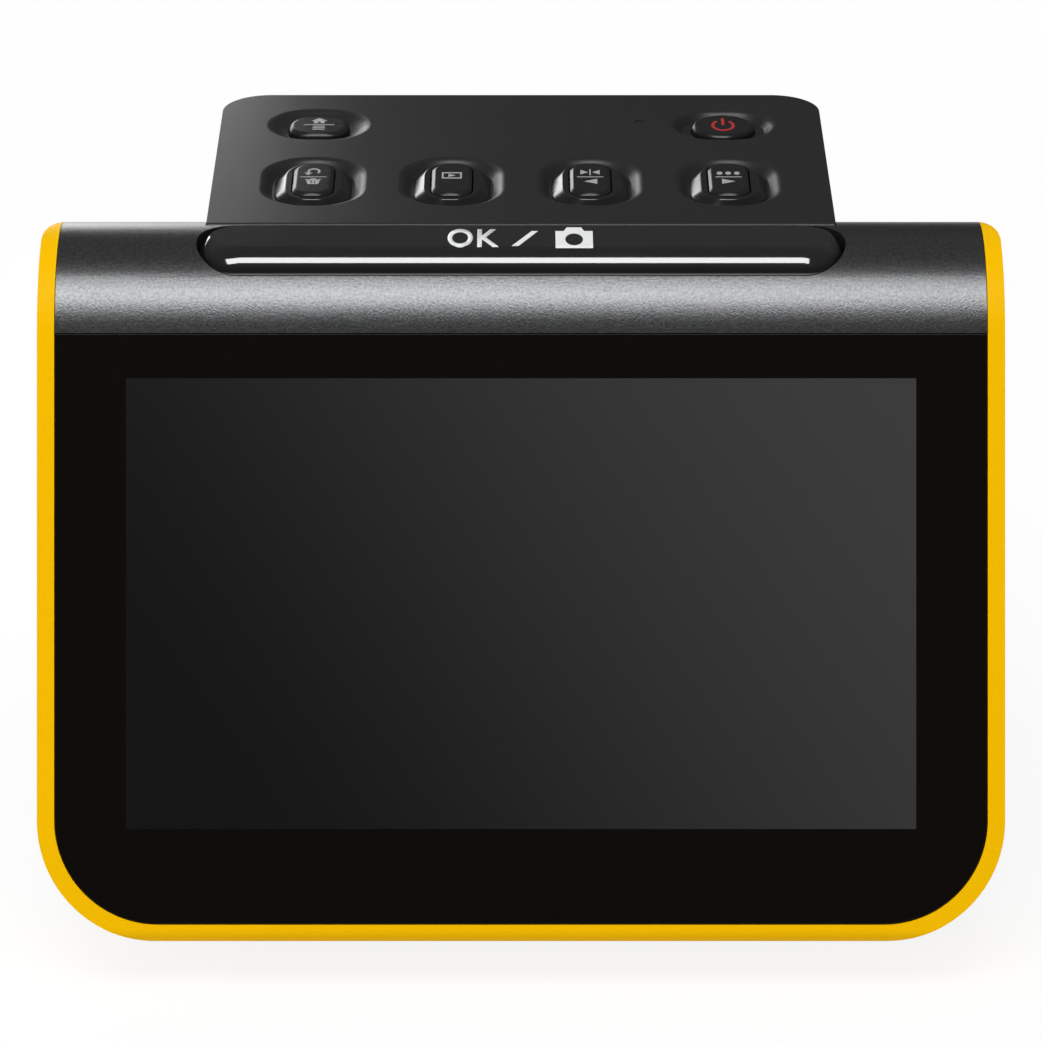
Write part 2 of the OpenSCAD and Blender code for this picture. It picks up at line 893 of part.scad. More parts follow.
module key_board() color(board_green) {
    difference() {
        translate([-key_board_w / 2, key_board_front, key_board_z])
            cube([key_board_w, key_board_rear - key_board_front, board_t]);
        for (b = boss_spots)
            translate([b.x, b.y, key_board_z - 1])
                cylinder(d = screw_d + 2 * pin_fit, h = board_t + 2);
        for (x = [-1, 1])
            translate([x * bar_pin_x, bar_y, key_board_z - 1])
                cylinder(d = bar_pin_d + 2 * pin_fit, h = board_t + 2);
    }
}

// Screws that hold the key board, the main board and the camera bracket
module board_screws() color(steel) {
    for (b = boss_spots)
        translate([b.x, b.y, key_board_z - screw_head_h])
            small_screw(screw_l);
    at_main_screws()
        translate([0, 0, -main_front + screw_head_h])
            rotate([180, 0, 0])
                small_screw(screw_l);
    at_bracket_posts(cap_top - cap_t + 0.4)
        small_screw(screw_l - 1);
}

// Light guide from the indicator lamp on the key board up to the panel
module status_light() color("white") {
    translate([light_x, light_y, key_board_top + 1 + fit])
        cylinder(d = light_d, h = panel_z - key_board_top - 1 - 2 * fit, $fn = 24);
    translate([light_x, light_y, panel_under - flange_gap - 1])
        cylinder(d = light_d + 2, h = 1, $fn = 24);
}
module status_led() color("white") {
    translate([light_x, light_y, key_board_top])
        mid_box([2, 1.4, 1]);
}

module main_board() color(board_green) {
    difference() {
        translate([-main_w / 2, main_front, main_z0])
            cube([main_w, board_t, main_z1 - main_z0]);
        at_main_screws()
            translate([0, 0, -main_back - 1])
                cylinder(d = screw_d + 2 * pin_fit, h = board_t + 2);
    }
}

// Processor, memory, power and audio chips
processor = [14, 1.2, 14];
memory = [9, 1, 11];
power_chip = [5, 1, 5];
processor_at = [12, main_mid - 2];
memory_at = [28, main_mid + 4];
power_chip_at = [memory_at.x, main_mid - 9];
module chip(at, size) {
    translate([at.x - size.x / 2, main_front - size.y, at.y - size.z / 2])
        cube(size);
}
module board_chips() color("#202022") {
    chip(processor_at, processor);
    chip(memory_at, memory);
    chip(power_chip_at, power_chip);
}

function face_at(d, u) = [face_y + d * cos(tilt) + u * sin(tilt), lip_h + u * cos(tilt) - d * sin(tilt)];
strip_x = 24;
display_strip_x = -20;
light_strip_x = -(light_box_w + strip_socket.y) / 4;
key_strip_gap = 11;
key_strip_y = main_front - key_strip_gap;
display_out = face_at(lcd_back + ribbon_t, lit_mid + carrier_window_h / 2 - ribbon_tail);
// Small connectors where the flat cables end
module ribbon_sockets() color("ivory") {
    translate([display_strip_x, main_front - strip_socket.y, strip_high_z - strip_socket.z / 2])
        strip_block();
    translate([strip_x, main_front - strip_socket.y, strip_high_z - strip_socket.z / 2])
        strip_block();
    translate([0, main_front - strip_socket.y, strip_mid_z - strip_socket.z / 2])
        strip_block();
    translate([light_strip_x, main_back, strip_low_z - strip_socket.z / 2])
        strip_block();
    translate([strip_x, key_strip_y, key_board_z - strip_socket.y])
        translate([0, strip_socket.z, 0])
            rotate([90, 0, 0])
                strip_block();
}
module strip_block() {
    translate([-strip_socket.x / 2, 0, 0])
        cube(strip_socket);
}
module display_ribbon() color("#c8842c") {
    end_y = main_front - strip_socket.y;
    ribbon([
        display_out, display_out + ribbon_tail * [cos(tilt), -sin(tilt)], [roll_y, strip_high_z - ribbon_bend],
        [end_y - ribbon_tail, strip_high_z],
        [end_y, strip_high_z]
    ], display_strip_x, ribbon_w);
}
module key_ribbon() color("#c8842c") {
    start_y = key_strip_y + strip_socket.z / 2;
    end_y = main_front - strip_socket.y;
    ribbon([
        [start_y, key_board_z - strip_socket.y], [start_y, key_board_z - strip_socket.y - ribbon_tail],
        [end_y - ribbon_bend, strip_high_z], [end_y, strip_high_z]
    ], strip_x, ribbon_w);
}
module sensor_ribbon() color("#c8842c") {
    start_y = film_y + sensor_board_w / 2;
    end_y = main_front - strip_socket.y;
    ribbon([
        [start_y - ribbon_tail, sensor_z + board_t], [start_y + ribbon_t, sensor_z + board_t],
        [end_y - ribbon_bend, strip_mid_z],
        [end_y, strip_mid_z]
    ], 0, ribbon_w);
}
module light_ribbon() color("#c8842c") {
    rear = film_y + channel_w / 2 + rear_gap - 0.5;
    low = box_z + box_wall + board_t;
    ribbon([
        [film_y + light_box_d / 2 - 4, low], [rear, low], [rear, cap_top + ribbon_bend],
        [main_back + strip_socket.y + ribbon_bend, strip_low_z], [main_back + strip_socket.y, strip_low_z]
    ], light_strip_x, light_ribbon_w);
}

// Memory card socket, open through the tower's left side
module memory_card_socket() color(steel) {
    x0 = -tower_w / 2 + 0.4;
    translate([x0, card_y, card_z])
        difference() {
            cube(card);
            translate([-1, socket_wall, 1])
                cube([card.x, card.y - 2 * socket_wall, card.z - 2]);
        }
}

module at_rear(p) {
    translate([p.x, main_back + socket_l, p.y])
        rotate([90, 0, 0])
            children();
}
module usb_socket() color(steel) {
    at_rear(usb_at) {
        difference() {
            rounded_block(usb, usb.y / 2 - eps, socket_l);
            translate([0, 0, -1])
                rounded_block(usb - 2 * [socket_wall, socket_wall], usb.y / 2 - socket_wall - eps, socket_l);
        }
        translate([0, 0, 1])
            rounded_block([6, 0.8], 0.3, socket_l - 1.5);
    }
}
module video_socket() color(steel) {
    at_rear(video_at) {
        difference() {
            rounded_block(video, 0.8, socket_l);
            translate([0, 0, -1])
                rounded_block(video - 2 * [socket_wall, socket_wall], 0.5, socket_l);
        }
        translate([0, 0, 1])
            rounded_block([8, 0.9], 0.3, socket_l - 1.5);
    }
}

module at_bracket_posts(z) {
    for (x = [-1, 1], y = [-1, 1])
        translate([x * bracket_post.x, film_y + y * bracket_post.y, z])
            children();
}
// Four-post stand on the channel that carries the lens and the sensor
module camera_bracket() color(charcoal) {
    difference() {
        union() {
            translate([0, film_y, bracket_z])
                mid_box([bracket_w, bracket_d, bracket_t]);
            at_bracket_posts(cap_top)
                cylinder(d = post_d, h = bracket_lift + eps);
        }
        translate([0, film_y, bracket_z - 1])
            cylinder(d = holder_tube_d + 2 * fit, h = bracket_t + 2);
        at_bracket_posts(cap_top - 1)
            cylinder(d = screw_d, h = screw_l + 1);
    }
}
module lens_holder() color("#202022") {
    difference() {
        union() {
            translate([0, film_y, bracket_z + bracket_t])
                cylinder(d = lens_flange_d, h = lens_flange_h);
            translate([0, film_y, barrel_z + barrel_bare])
                cylinder(d = holder_tube_d, h = bracket_z + bracket_t - barrel_z - barrel_bare + eps);
        }
        translate([0, film_y, barrel_z])
            cylinder(d = barrel_d + 2 * pin_fit, h = sensor_z - barrel_z + 1);
    }
}
module lens_barrel() color(black) {
    translate([0, film_y, barrel_z])
        difference() {
            cylinder(d = barrel_d, h = barrel_l);
            translate([0, 0, -1])
                cylinder(d = barrel_d - 2 * barrel_wall, h = barrel_l + 2);
            translate([0, 0, -1])
                cylinder(d = barrel_d - barrel_wall, h = barrel_bare);
        }
}
module lens_elements() color("lightblue") {
    translate([0, film_y, barrel_z + barrel_wall])
        for (z = [element_t / 2, barrel_l / 2, barrel_l - 3 * element_t])
            translate([0, 0, z])
                cylinder(d = barrel_d - 2 * barrel_wall - fit, h = element_t);
}
module sensor_board() color(board_green) {
    translate([0, film_y, sensor_z])
        mid_box([sensor_board_w, sensor_board_w, board_t]);
}
module image_sensor() color("#30343c") {
    translate([0, film_y, sensor_z - 1])
        mid_box([7, 5.4, 1]);
}

module light_box() color("white") {
    translate([0, film_y, box_z])
        difference() {
            mid_box([light_box_w, light_box_d, box_top - box_z]);
            translate([0, 0, box_wall])
                mid_box([light_box_w - 2 * box_wall, light_box_d - 2 * box_wall, big]);
            translate([0, 0, box_top - box_z - diffuser_t])
                mid_box([light_box_w - box_wall, light_box_d - box_wall, big]);
            translate([light_strip_x, light_box_d / 2, box_wall + board_t - fit])
                mid_box([light_ribbon_w + 1, 4 * box_wall, 1]);
        }
}
module light_board() color(board_green) {
    translate([0, film_y, box_z + box_wall])
        mid_box([light_box_w - 2 * box_wall - 1, light_box_d - 2 * box_wall - 1, board_t]);
}
module light_emitters() color("lemonchiffon") {
    for (x = [-1.5 : 1 : 1.5], y = [-1 : 1])
        translate([x * emitter_pitch.x, film_y + y * emitter_pitch.y, box_z + box_wall + board_t])
            mid_box(emitter);
}
module diffuser_plate() color("white") {
    translate([0, film_y, box_top - diffuser_t])
        mid_box([light_box_w - box_wall - 2 * fit, light_box_d - box_wall - 2 * fit, diffuser_t]);
}

module aperture(z, h) {
    translate([0, film_y, z])
        mid_box([frame_w + 2 * aperture_margin, frame_h + 2 * aperture_margin, h]);
}
// A plate of the channel, rounded where the tower's rear corners are
module channel_plate(z, h) {
    translate([0, 0, z])
        linear_extrude(h)
            intersection() {
                polygon(tower_points(tower_wall + fit, film_y - channel_w / 2));
                translate([-channel_l / 2, film_y - channel_w / 2])
                    square([channel_l, channel_w]);
            }
}
// Lower guide with its two rails
module channel_lower() color("#202022") {
    difference() {
        channel_plate(channel_z - channel_t, channel_top - channel_z + channel_t);
        translate([-channel_l, film_y - channel_w / 2 + rail_w, channel_z])
            cube([2 * channel_l, channel_w - 2 * rail_w, channel_top]);
        aperture(channel_z - channel_t - 1, channel_t + 2);
    }
}
// Upper guide, which closes the channel and carries the camera bracket
module channel_upper() color("#202022") {
    difference() {
        channel_plate(channel_top, cap_t);
        aperture(channel_top - 1, cap_t + 2);
        translate([spring_x, film_y, channel_top - 1])
            mid_box([spring_window, spring_w + 2, cap_t + 2]);
        at_bracket_posts(channel_top - 1) {
            cylinder(d = screw_d + 2 * pin_fit, h = cap_t + 2);
            cylinder(d = screw_head_d + 2 * pin_fit, h = 1 + 0.4 + screw_head_h);
        }
    }
}
// Leaf that steadies the holder through a window in the upper guide
module channel_spring() color(steel) {
    translate([spring_x, film_y, cap_top])
        mid_box([spring_l / 2, spring_w, spring_t]);
    translate([spring_x, film_y + spring_w / 2, holder_z + holder_t + fit / 2 + bump_d / 2])
        rotate([90, 0, 0])
            cylinder(d = bump_d, h = spring_w);
    translate([spring_x - spring_t / 2, film_y - spring_w / 2, holder_z + holder_t + bump_d / 2])
        cube([spring_t, spring_w, cap_top - holder_z - holder_t - bump_d / 2 + eps]);
}

// Knuckles of the holder's hinge: the base has the odd ones and the lid the even ones
knuckle_pitch = holder_l / (2 * knuckle_n + 1);
function knuckle_x(i) = (i - knuckle_n) * knuckle_pitch;
module knuckles(first, r, l) {
    for (i = [first : 2 : 2 * knuckle_n])
        translate([knuckle_x(i) - l / 2, hinge_y, lid_z])
            rotate([0, 90, 0])
                cylinder(r = r, h = l);
}
module gates(z, h) {
    for (i = [-1 : 1])
        translate([i * frame_pitch, film_y, z])
            mid_box([frame_w, frame_h, h]);
}
module holder_base() color("#202022") {
    difference() {
        union() {
            difference() {
                translate([0, film_y, holder_z])
                    rounded_block([holder_l, holder_w], 3, lid_z - holder_z - lid_gap / 2);
                knuckles(1, knuckle_r + knuckle_gap, knuckle_l + 2 * knuckle_gap);
            }
            knuckles(0, knuckle_r, knuckle_l);
        }
        gates(holder_z - 1, holder_t);
        translate([0, film_y, lid_z - lid_gap / 2 - film_deep])
            mid_box([holder_l + 2, film_w + fit, 1]);
        knuckles(0, pin_d / 2 + pin_fit, holder_l / 2);
        knuckles(1, pin_d / 2 + pin_fit, holder_l / 2);
    }
}
module holder_lid() color("#202022") {
    difference() {
        union() {
            difference() {
                translate([0, film_y, lid_z + lid_gap / 2])
                    rounded_block([holder_l, holder_w], 3, holder_z + holder_t - lid_z - lid_gap / 2);
                knuckles(0, knuckle_r + knuckle_gap, knuckle_l + 2 * knuckle_gap);
            }
            knuckles(1, knuckle_r, knuckle_l);
        }
        gates(lid_z - 1, holder_t);
        knuckles(0, pin_d / 2 + pin_fit, holder_l / 2);
        knuckles(1, pin_d / 2 + pin_fit, holder_l / 2);
        // Click notches, one for each picture
        for (i = [-1 : 1])
            translate([spring_x + i * frame_pitch, film_y + spring_w, holder_z + holder_t + 1])
                rotate([90, 0, 0])
                    cylinder(d = bump_d, h = 2 * spring_w);
    }
}
module holder_pin() color(steel) {
    translate([-holder_l / 2 + 2, hinge_y, lid_z])
        rotate([0, 90, 0])
            cylinder(d = pin_d, h = holder_l - 4);
}

// Base plate with the legs that carry the film channel
module base_plate() color(charcoal) {
    legs = [film_y - channel_w / 2 + leg_d, film_y + channel_w / 2 - leg_d];
    difference() {
        translate([0, 0, foot_h])
            linear_extrude(base_t)
                polygon(tower_points(tower_wall + fit, heel_y + heel_r));
        slab_clearance();
        translate([0, 0, foot_h - 1])
            at_base_screws()
                cylinder(d = screw_d + 2 * pin_fit, h = base_t + 2);
        translate([0, 0, foot_h - 1])
            at_base_screws()
                cylinder(d = screw_head_d + 2 * pin_fit, h = 1 + screw_head_h + fit);
    }
    for (x = [-1, 1], y = legs)
        translate([x * leg_x, y, base_top - eps])
            cylinder(d = leg_d, h = box_top - base_top + eps);
}
// Rubber pads under the base plate
module feet() color("#1c1c1c") {
    for (x = [-1, 1]) {
        translate([x * front_foot_x, foot_front, 0])
            cylinder(d = foot_d, h = foot_h);
        translate([x * rear_foot_x, foot_rear, 0])
            cylinder(d = foot_d, h = foot_h);
    }
}

side_frame();
roll_cover();
screen_glass();
screen_gasket();
lcd_panel();
display_carrier();
back_cover();
case_screws();
tower_shell();
button_panel();
key_bezels();
ok_bar();
home_key();
rotate_key();
gallery_key();
flip_key();
colour_key();
power_key();
ok_plungers();
home_plunger();
rotate_plunger();
gallery_plunger();
flip_plunger();
colour_plunger();
power_plunger();
switch_bodies();
key_board();
board_screws();
status_light();
status_led();
main_board();
board_chips();
ribbon_sockets();
memory_card_socket();
usb_socket();
video_socket();
display_ribbon();
key_ribbon();
sensor_ribbon();
light_ribbon();
camera_bracket();
lens_holder();
lens_barrel();
lens_elements();
sensor_board();
image_sensor();
light_box();
light_board();
light_emitters();
diffuser_plate();
channel_lower();
channel_upper();
channel_spring();
holder_base();
holder_lid();
holder_pin();
base_plate();
feet();
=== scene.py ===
import math

import bpy
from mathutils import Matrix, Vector


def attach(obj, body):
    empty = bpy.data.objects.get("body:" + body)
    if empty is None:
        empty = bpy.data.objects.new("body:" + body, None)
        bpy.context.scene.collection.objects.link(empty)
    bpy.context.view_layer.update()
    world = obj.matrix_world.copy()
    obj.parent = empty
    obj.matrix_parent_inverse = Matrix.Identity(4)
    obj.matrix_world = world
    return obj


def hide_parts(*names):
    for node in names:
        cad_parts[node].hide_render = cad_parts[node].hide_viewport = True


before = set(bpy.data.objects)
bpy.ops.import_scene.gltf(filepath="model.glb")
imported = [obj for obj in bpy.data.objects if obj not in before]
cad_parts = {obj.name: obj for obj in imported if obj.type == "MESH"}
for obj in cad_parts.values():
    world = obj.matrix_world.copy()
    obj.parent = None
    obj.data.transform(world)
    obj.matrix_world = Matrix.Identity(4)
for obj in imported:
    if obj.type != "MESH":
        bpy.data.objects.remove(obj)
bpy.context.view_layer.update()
MM = 0.001

# Studio. The camera looks square onto the tilted display from three quarters of a metre away. One large
# softbox draws the strip on the long key and the band on the roll, and the left light only fills. Two small
# cards behind the tower are mirrored in the walls of the dishes and in the key surrounds.
TILT = math.radians(24.5)
AIM = Vector((0, 0, 0.06))

camera = bpy.data.objects.new("camera", bpy.data.cameras.new("camera"))
camera.data.lens = 183.4
camera.data.sensor_width = 36
camera.location = (0, -0.70224, 0.36829)
camera.rotation_euler = (math.pi / 2 - TILT, 0, 0)
bpy.context.scene.collection.objects.link(camera)
bpy.context.scene.camera = camera
bpy.context.scene.view_settings.view_transform = "Standard"


def softbox(name, azimuth, elevation, distance, size, radiance, shift=0, mirrored=True):
    """An area light that faces the part. Azimuth 0 is in front and 90 to the right. Shift is along X."""
    light = bpy.data.lights.new(name, "AREA")
    light.shape = "RECTANGLE"
    light.size, light.size_y = size
    light.energy = radiance * math.pi * size[0] * size[1]
    lamp = bpy.data.objects.new(name, light)
    a, e = math.radians(azimuth), math.radians(elevation)
    away = Vector((math.sin(a) * math.cos(e), -math.cos(a) * math.cos(e), math.sin(e)))
    lamp.location = AIM + away * distance
    lamp.rotation_euler = away.to_track_quat("Z", "Y").to_euler()
    lamp.location.x += shift
    lamp.visible_camera = False
    lamp.visible_glossy = mirrored
    bpy.context.scene.collection.objects.link(lamp)


softbox("key_light", 0, 66.5, 1.3, (1.02, 0.58), 7.2, shift=-0.16)
softbox("left_light", -80, 30, 1.2, (0.6, 0.6), 1.5, mirrored=False)
softbox("near_card", 180, 16, 0.22, (0.22, 0.08), 2.0, shift=-0.156)
softbox("far_card", -159, 10, 0.8, (0.34, 0.26), 1.6)

# World. It is white to the camera. Gloss sees a dark room that is a little lighter behind the part and
# overhead, and diffuse surfaces get an even fill.
world = bpy.data.worlds.new("studio")
bpy.context.scene.world = world
world.use_nodes = True
tree = world.node_tree
tree.nodes.clear()


def feed(tree, socket, value):
    """Gives an input socket a value, or links it to an output socket."""
    if isinstance(value, bpy.types.NodeSocket):
        tree.links.new(value, socket)
    else:
        socket.default_value = value


def calculate(tree, operation, *values):
    """A math node's result."""
    node = tree.nodes.new("ShaderNodeMath")
    node.operation = operation
    for socket, value in zip(node.inputs, values):
        feed(tree, socket, value)
    return node.outputs[0]


def ramp(tree, value, low, high, start=0, stop=1, eased=True):
    """Maps low to start and high to stop, and eases in and out between them."""
    node = tree.nodes.new("ShaderNodeMapRange")
    if eased:
        node.interpolation_type = "SMOOTHSTEP"
    for name, given in (("Value", value), ("From Min", low), ("From Max", high), ("To Min", start),
                        ("To Max", stop)):
        feed(tree, node.inputs[name], given)
    return node.outputs[0]


def blend(tree, kind, factor, a, b):
    """A mix node's result, which is a at a factor of 0 and b at 1."""
    node = tree.nodes.new("ShaderNodeMix")
    node.data_type = kind
    for name, given in (("Factor", factor), ("A", a), ("B", b)):
        feed(tree, node.inputs[name], given)
    return node.outputs["Result"]


sky = tree.nodes.new("ShaderNodeTexCoord")
axes = tree.nodes.new("ShaderNodeSeparateXYZ")
tree.links.new(sky.outputs["Generated"], axes.inputs[0])
behind = ramp(tree, axes.outputs["Y"], 0.1, 0.7, 0.4, 0.7)
aloft = ramp(tree, axes.outputs["Z"], 0.36, 0.8, 0.095, 0.24)
gloss = calculate(tree, "MULTIPLY", behind, aloft)
rays = tree.nodes.new("ShaderNodeLightPath")
fill = blend(tree, "FLOAT", rays.outputs["Is Glossy Ray"], 0.38, gloss)
background = tree.nodes.new("ShaderNodeBackground")
background.inputs["Color"].default_value = (1, 1, 1, 1)
feed(tree, background.inputs["Strength"], calculate(tree, "MAXIMUM", rays.outputs["Is Camera Ray"], fill))
end = tree.nodes.new("ShaderNodeOutputWorld")
tree.links.new(background.outputs[0], end.inputs["Surface"])

# Floor. A sheet of matt white paper, swept out far round the part. It keeps the part's shadow, and it
# turns to the white of the room further off.
bpy.ops.object.select_all(action="DESELECT")
bpy.ops.mesh.primitive_grid_add(x_subdivisions=20, y_subdivisions=20, size=8, location=(0, 0, 0))
floor = bpy.context.object
floor.name = "floor"
paper = bpy.data.materials.new("paper_sweep")
paper.use_nodes = True
tree = paper.node_tree
shade = tree.nodes["Principled BSDF"]
shade.inputs["Base Color"].default_value = (0.93, 0.93, 0.93, 1)
shade.inputs["Roughness"].default_value = 0.95
shade.inputs["Specular IOR Level"].default_value = 0.1
spot = tree.nodes.new("ShaderNodeTexCoord")
reach = tree.nodes.new("ShaderNodeVectorMath")
reach.operation = "LENGTH"
tree.links.new(spot.outputs["Object"], reach.inputs[0])
fade = ramp(tree, reach.outputs["Value"], 0.12, 0.5, 0.88)
rays = tree.nodes.new("ShaderNodeLightPath")
glow = tree.nodes.new("ShaderNodeEmission")
sweep = tree.nodes.new("ShaderNodeMixShader")
feed(tree, sweep.inputs[0], calculate(tree, "MULTIPLY", fade, rays.outputs["Is Camera Ray"]))
tree.links.new(shade.outputs[0], sweep.inputs[1])
tree.links.new(glow.outputs[0], sweep.inputs[2])
tree.links.new(sweep.outputs[0], tree.nodes["Material Output"].inputs["Surface"])
floor.data.materials.append(paper)

# Side frame. One injection-moulded U of yellow ABS round the display, with the two ends of the rolled
# top. It leaves the mould with a fine satin texture and small radii on every edge.
moulded = bpy.data.node_groups.new("moulded_finish", "ShaderNodeTree")
for label, kind in (
    ("Position", "NodeSocketVector"), ("Colour", "NodeSocketColor"), ("Drift", "NodeSocketColor"),
    ("Mottle", "NodeSocketFloat"), ("Grain", "NodeSocketFloat"), ("Roughness", "NodeSocketFloat"),
    ("Spread", "NodeSocketFloat"),
):
    moulded.interface.new_socket(label, in_out="INPUT", socket_type=kind)
moulded.interface.new_socket("Colour", in_out="OUTPUT", socket_type="NodeSocketColor")
moulded.interface.new_socket("Roughness", in_out="OUTPUT", socket_type="NodeSocketFloat")
moulded.interface.new_socket("Height", in_out="OUTPUT", socket_type="NodeSocketFloat")
given = moulded.nodes.new("NodeGroupInput")
made = moulded.nodes.new("NodeGroupOutput")


def noise(tree, position, scale, detail=2):
    """A noise texture's strength at a position."""
    texture = tree.nodes.new("ShaderNodeTexNoise")
    feed(tree, texture.inputs["Vector"], position)
    feed(tree, texture.inputs["Scale"], scale)
    texture.inputs["Detail"].default_value = detail
    return texture.outputs["Fac"]


broad = noise(moulded, given.outputs["Position"], given.outputs["Mottle"], detail=3)
fine = noise(moulded, given.outputs["Position"], given.outputs["Grain"])
tint = blend(moulded, "RGBA", broad, given.outputs["Colour"], given.outputs["Drift"])
swing = calculate(moulded, "MULTIPLY_ADD", broad, given.outputs["Spread"], given.outputs["Roughness"])
moulded.links.new(tint, made.inputs["Colour"])
moulded.links.new(swing, made.inputs["Roughness"])
moulded.links.new(fine, made.inputs["Height"])


def finish(name, colour, drift, roughness, spread=0.06, mottle=60, grain=9000, depth=0.004, **sockets):
    """A material from the moulded finish. Grain is per metre and depth in millimetres."""
    material = bpy.data.materials.new(name)
    material.use_nodes = True
    tree = material.node_tree
    shader = tree.nodes["Principled BSDF"]
    place = tree.nodes.new("ShaderNodeTexCoord")
    group = tree.nodes.new("ShaderNodeGroup")
    group.node_tree = moulded
    tree.links.new(place.outputs["Object"], group.inputs["Position"])
    group.inputs["Colour"].default_value = (*colour, 1)
    group.inputs["Drift"].default_value = (*drift, 1)
    group.inputs["Mottle"].default_value = mottle
    group.inputs["Grain"].default_value = grain
    group.inputs["Roughness"].default_value = roughness
    group.inputs["Spread"].default_value = spread
    bump = tree.nodes.new("ShaderNodeBump")
    bump.inputs["Distance"].default_value = depth * MM
    tree.links.new(group.outputs["Height"], bump.inputs["Height"])
    tree.links.new(group.outputs["Colour"], shader.inputs["Base Color"])
    tree.links.new(group.outputs["Roughness"], shader.inputs["Roughness"])
    tree.links.new(bump.outputs[0], shader.inputs["Normal"])
    for socket, value in sockets.items():
        shader.inputs[socket.replace("_", " ")].default_value = value
    return material


def only(piece):
    """Leaves one object selected and active."""
    bpy.ops.object.select_all(action="DESELECT")
    piece.select_set(True)
    bpy.context.view_layer.objects.active = piece


def from_cad(node, name):
    """A merged copy of a CAD node's mesh, to be worked on as a piece of its own."""
    piece = bpy.data.objects.new(name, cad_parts[node].data.copy())
    bpy.context.scene.collection.objects.link(piece)
    piece.data.materials.clear()
    only(piece)
    if piece.data.has_custom_normals:
        bpy.ops.mesh.customdata_custom_splitnormals_clear()
    bpy.ops.object.mode_set(mode="EDIT")
    bpy.ops.mesh.select_all(action="SELECT")
    bpy.ops.mesh.remove_doubles(threshold=1e-6)
    bpy.ops.mesh.mark_sharp(clear=True)
    bpy.ops.mesh.dissolve_limited(angle_limit=math.radians(0.5))
    bpy.ops.object.mode_set(mode="OBJECT")
    return piece


def soften(piece, width, segments=3, angle=30):
    """Rounds the edges sharper than the angle, and shades the rest smooth."""
    edge = piece.modifiers.new("edge", "BEVEL")
    edge.width = width * MM
    edge.segments = segments
    edge.limit_method = "ANGLE"
    edge.angle_limit = math.radians(angle)
    only(piece)
    bpy.ops.object.modifier_apply(modifier="edge")
    smooth(piece)


def smooth(piece, crease=32):
    """Shades curved faces smooth and keeps flat faces flat. Edges past the crease angle stay sharp."""
    only(piece)
    bpy.ops.object.shade_smooth_by_angle(angle=math.radians(crease), keep_sharp_edges=False)
    flat = piece.modifiers.new("flat", "WEIGHTED_NORMAL")
    flat.keep_sharp = True
    bpy.ops.object.modifier_apply(modifier="flat")


def declare(piece, body, material, slot, *nodes):
    """Dresses a finished piece, hangs it on the body it rides on, and hides the CAD nodes it replaces."""
    piece.data.materials.clear()
    piece.data.materials.append(material)
    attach(piece, body)
    if nodes:
        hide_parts(*nodes)


def dress(material, *nodes):
    """Gives carried-over CAD nodes a material."""
    for node in nodes:
        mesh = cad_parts[node].data
        mesh.materials.clear()
        mesh.materials.append(material)


yellow = finish("yellow_abs", (0.79, 0.435, 0.0), (0.84, 0.465, 0.0), 0.36, mottle=25, grain=5000,
                depth=0.002, Specular_IOR_Level=0.03)
side_frame = from_cad("side_frame", "yellow_side_frame")
soften(side_frame, 0.35)
declare(side_frame, "housing", yellow, "yellow_plastic", "side_frame")

# Rolled top. A moulded half cover in a metallic grey lacquer, with a fine sparkle in it. It snaps in
# between the ends of the side frame.
lacquer = finish("metallic_lacquer", (0.045, 0.0455, 0.0465), (0.175, 0.1775, 0.181), 0.26, mottle=2600,
                 grain=4200, depth=0.03, Metallic=0.9)
roll = from_cad("roll_cover", "rolled_top")
soften(roll, 0.12, segments=2)
declare(roll, "housing", lacquer, "roll_finish", "roll_cover")

# Display window. Toughened glass with a black print on its back, clear only over the picture area, where
# the dark grey film of the display shows through. The film's colour carries a painted sheen, a reflection
# painted into it, that makes it lighter towards the upper right. The print is placed from the window's lower
# lip.
LIP = Vector((0, -53.2076, 8)) * MM
CLEAR_W, CLEAR_LOW, CLEAR_HIGH = 55.1 * MM, 15.75 * MM, 78.6 * MM
CLEAR_EDGE = 0.02 * MM
# The direction, per metre, in which the painted sheen lightens the film's colour.
PAINTED_SHEEN_TOWARDS = (6.8, 0, 4.4)

glass_print_and_painted_sheen = bpy.data.materials.new("printed_glass_painted_sheen")
glass_print_and_painted_sheen.use_nodes = True
tree = glass_print_and_painted_sheen.node_tree
shader = tree.nodes["Principled BSDF"]
place = tree.nodes.new("ShaderNodeTexCoord")
level = tree.nodes.new("ShaderNodeMapping")
level.vector_type = "TEXTURE"
level.inputs["Location"].default_value = LIP
level.inputs["Rotation"].default_value = (-TILT, 0, 0)
tree.links.new(place.outputs["Object"], level.inputs["Vector"])
axes = tree.nodes.new("ShaderNodeSeparateXYZ")
tree.links.new(level.outputs[0], axes.inputs[0])


def within(tree, value, low, high):
    """A mask that is 1 between two values, with a hair of softness at each."""
    return calculate(tree, "MULTIPLY",
                     ramp(tree, value, low - CLEAR_EDGE, low + CLEAR_EDGE, eased=False),
                     ramp(tree, value, high + CLEAR_EDGE, high - CLEAR_EDGE, eased=False))


clear = calculate(tree, "MULTIPLY", within(tree, axes.outputs["X"], -CLEAR_W, CLEAR_W),
                  within(tree, axes.outputs["Z"], CLEAR_LOW, CLEAR_HIGH))
across = tree.nodes.new("ShaderNodeVectorMath")
across.operation = "DOT_PRODUCT"
across.inputs[1].default_value = PAINTED_SHEEN_TOWARDS
tree.links.new(level.outputs[0], across.inputs[0])
